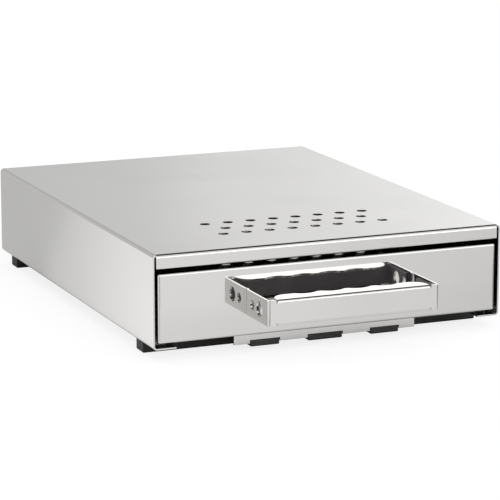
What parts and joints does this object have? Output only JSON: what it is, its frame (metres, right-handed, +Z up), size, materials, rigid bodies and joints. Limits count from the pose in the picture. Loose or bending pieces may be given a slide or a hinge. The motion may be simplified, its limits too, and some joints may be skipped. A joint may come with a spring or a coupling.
{
  "type": "coffee knock drawer",
  "caption": "Low stainless steel drawer base for spent coffee grounds: vented casing on two foot bars, ball runners, open tray with a rubber knock bar, and a folded finger handle.",
  "frame": {"origin": "on the counter under the middle of the whole object, handle included", "axes": "+X across to the right seen from the front, +Y towards the back, +Z up"},
  "size_m": [0.3, 0.435, 0.086],
  "materials": {
    "polished_stainless": "bright polished stainless steel sheet",
    "satin_stainless": "satin stainless steel",
    "zinc_plated_steel": "bright zinc plated steel",
    "bearing_steel": "ground bearing balls, lightly greased",
    "fastener_steel": "stainless steel fasteners",
    "black_rubber": "matte moulded rubber",
    "black_foot_rubber": "matte extruded rubber",
    "black_liner_plastic": "matte charcoal plastic"
  },
  "bodies": {
    "casing": {"casing_shell": "polished_stainless", "rear_panel": "satin_stainless", "rear_panel_rivets": "fastener_steel", "rear_bumpers": "black_rubber", "front_top_stiffener": "satin_stainless", "rear_top_stiffener": "satin_stainless", "front_foot_bar": "black_foot_rubber", "rear_foot_bar": "black_foot_rubber", "foot_bar_screws": "fastener_steel", "slide_bracket_screws": "fastener_steel", "rail_rivets": "fastener_steel", "left_slide_bracket": "zinc_plated_steel", "right_slide_bracket": "zinc_plated_steel", "left_outer_rail": "zinc_plated_steel", "right_outer_rail": "zinc_plated_steel"},
    "drawer": {"drawer_front": "polished_stainless", "drawer_tray": "satin_stainless", "tray_screws": "fastener_steel", "handle_bracket": "polished_stainless", "handle_liner": "black_liner_plastic", "handle_screws": "fastener_steel", "handle_washers": "fastener_steel", "handle_nuts": "fastener_steel", "support_bracket": "polished_stainless", "pad_screws": "fastener_steel", "left_bump_pad": "black_rubber", "middle_bump_pad": "black_rubber", "right_bump_pad": "black_rubber", "knock_bar_rod": "satin_stainless", "knock_bar_sleeve": "black_rubber", "knock_bar_discs": "satin_stainless", "knock_bar_bolts": "fastener_steel", "knock_bar_washers": "fastener_steel", "left_bar_bracket": "satin_stainless", "right_bar_bracket": "satin_stainless", "bar_bracket_screws": "fastener_steel", "bar_bracket_nuts": "fastener_steel", "left_inner_rail": "zinc_plated_steel", "right_inner_rail": "zinc_plated_steel"},
    "left_middle_runner": {"left_middle_rail": "zinc_plated_steel"},
    "left_outer_cage": {"left_outer_ball_cage": "zinc_plated_steel", "left_outer_balls": "bearing_steel"},
    "left_inner_cage": {"left_inner_ball_cage": "zinc_plated_steel", "left_inner_balls": "bearing_steel"},
    "right_middle_runner": {"right_middle_rail": "zinc_plated_steel"},
    "right_outer_cage": {"right_outer_ball_cage": "zinc_plated_steel", "right_outer_balls": "bearing_steel"},
    "right_inner_cage": {"right_inner_ball_cage": "zinc_plated_steel", "right_inner_balls": "bearing_steel"}
  },
  "joints": [
    {"name": "drawer_slide", "type": "slide", "parent": "casing", "child": "drawer", "axis": [0, -1, 0], "range_m": [0, 0.32]},
    {"name": "left_middle_runner_slide", "type": "slide", "parent": "casing", "child": "left_middle_runner", "axis": [0, -1, 0], "range_m": [0, 0.16]},
    {"name": "left_outer_cage_slide", "type": "slide", "parent": "casing", "child": "left_outer_cage", "axis": [0, -1, 0], "range_m": [0, 0.08]},
    {"name": "left_inner_cage_slide", "type": "slide", "parent": "casing", "child": "left_inner_cage", "axis": [0, -1, 0], "range_m": [0, 0.24]},
    {"name": "right_middle_runner_slide", "type": "slide", "parent": "casing", "child": "right_middle_runner", "axis": [0, -1, 0], "range_m": [0, 0.16]},
    {"name": "right_outer_cage_slide", "type": "slide", "parent": "casing", "child": "right_outer_cage", "axis": [0, -1, 0], "range_m": [0, 0.08]},
    {"name": "right_inner_cage_slide", "type": "slide", "parent": "casing", "child": "right_inner_cage", "axis": [0, -1, 0], "range_m": [0, 0.24]}
  ],
  "couplings": [
    {"joint": "left_middle_runner_slide", "follows": "drawer_slide", "ratio": 0.5},
    {"joint": "left_outer_cage_slide", "follows": "drawer_slide", "ratio": 0.25},
    {"joint": "left_inner_cage_slide", "follows": "drawer_slide", "ratio": 0.75},
    {"joint": "right_middle_runner_slide", "follows": "drawer_slide", "ratio": 0.5},
    {"joint": "right_outer_cage_slide", "follows": "drawer_slide", "ratio": 0.25},
    {"joint": "right_inner_cage_slide", "follows": "drawer_slide", "ratio": 0.75}
  ]
}
